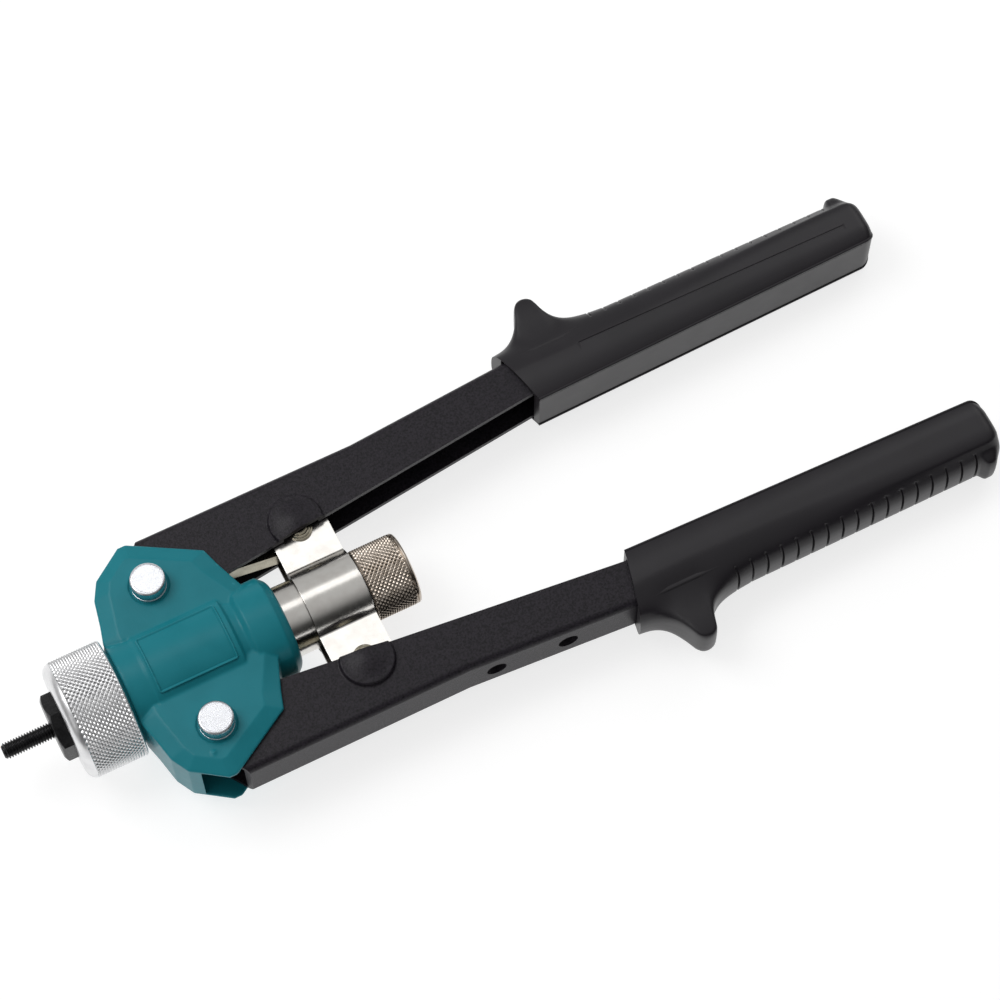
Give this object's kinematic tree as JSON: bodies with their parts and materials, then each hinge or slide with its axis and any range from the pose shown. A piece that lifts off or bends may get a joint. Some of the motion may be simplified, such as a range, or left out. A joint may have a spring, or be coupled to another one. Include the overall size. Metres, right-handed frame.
{
  "type": "hand rivet nut setter",
  "caption": "Two-handled lever tool that pulls a threaded mandrel back to set rivet nuts, with a knurled rear knob.",
  "frame": {"origin": "centre of the nosepiece's front face, on the tool axis", "axes": "+X along the tool axis from the nose to the handles, +Z square to the plane of the arms, +Y towards the right-hand arm"},
  "size_m": [0.3582, 0.145, 0.0428],
  "materials": {
    "teal_paint": "satin paint on cast aluminium",
    "bright_zinc": "bright zinc",
    "spring_steel": "dark spring steel",
    "machined_aluminium": "machined and knurled",
    "black_oxide": "black oxide",
    "black_powder_coat": "fine black powder coat",
    "grip_plastic": "satin moulded grip",
    "bronze": "sintered bronze",
    "plain_steel": "ground steel",
    "bright_nickel": "bright nickel plate",
    "warm_nickel": "warm nickel, knurled"
  },
  "bodies": {
    "head": {"head_casting": "teal_paint", "pivot_pin_right": "bright_zinc", "pivot_pin_left": "bright_zinc", "pivot_clips": "spring_steel"},
    "nose": {"nose_collar": "machined_aluminium", "nosepiece": "black_oxide"},
    "right_arm": {"arm_right": "black_powder_coat", "grip_right": "grip_plastic", "pivot_bush_right": "bronze", "link_pin_right": "plain_steel"},
    "left_arm": {"arm_left": "black_powder_coat", "grip_left": "grip_plastic", "pivot_bush_left": "bronze", "link_pin_left": "plain_steel"},
    "yoke": {"yoke_plate_upper": "bright_nickel", "yoke_plate_lower": "bright_nickel", "yoke_pin_right": "bright_nickel", "yoke_pin_left": "bright_nickel", "slide_tube": "bright_nickel", "front_bush": "bronze", "rear_bush": "bronze", "thrust_washer": "plain_steel"},
    "right_link": {"link_right": "warm_nickel"},
    "left_link": {"link_left": "warm_nickel"},
    "spindle": {"drive_shaft": "plain_steel", "rear_knob": "warm_nickel", "knob_screw": "black_oxide", "mandrel": "black_oxide"}
  },
  "joints": [
    {"name": "right_arm_hinge", "type": "hinge", "parent": "head", "child": "right_arm", "pos_m": [0.05, 0.028, 0], "axis": [0, 0, 1], "range_deg": [0, 40]},
    {"name": "left_arm_hinge", "type": "hinge", "parent": "head", "child": "left_arm", "pos_m": [0.05, -0.028, 0], "axis": [0, 0, 1], "range_deg": [-40, 0]},
    {"name": "yoke_slide", "type": "slide", "parent": "head", "child": "yoke", "axis": [1, 0, 0], "range_m": [-0.0068, 0]},
    {"name": "right_link_hinge", "type": "hinge", "parent": "yoke", "child": "right_link", "pos_m": [0.1058, 0.0263, 0], "axis": [0, 0, 1], "range_deg": [-11.3, 0]},
    {"name": "left_link_hinge", "type": "hinge", "parent": "yoke", "child": "left_link", "pos_m": [0.1058, -0.0263, 0], "axis": [0, 0, 1], "range_deg": [0, 11.3]},
    {"name": "spindle_spin", "type": "hinge", "parent": "yoke", "child": "spindle", "pos_m": [0.08, 0, 0], "axis": [1, 0, 0], "continuous": true},
    {"name": "collar_turn", "type": "hinge", "parent": "head", "child": "nose", "pos_m": [0.015, 0, 0], "axis": [1, 0, 0], "continuous": true}
  ],
  "couplings": [
    {"joint": "left_arm_hinge", "follows": "right_arm_hinge", "ratio": -1},
    {"joint": "yoke_slide", "follows": "right_arm_hinge", "m_per_rad": -0.009587},
    {"joint": "right_link_hinge", "follows": "right_arm_hinge", "ratio": -0.2795},
    {"joint": "left_link_hinge", "follows": "right_arm_hinge", "ratio": 0.2795}
  ]
}
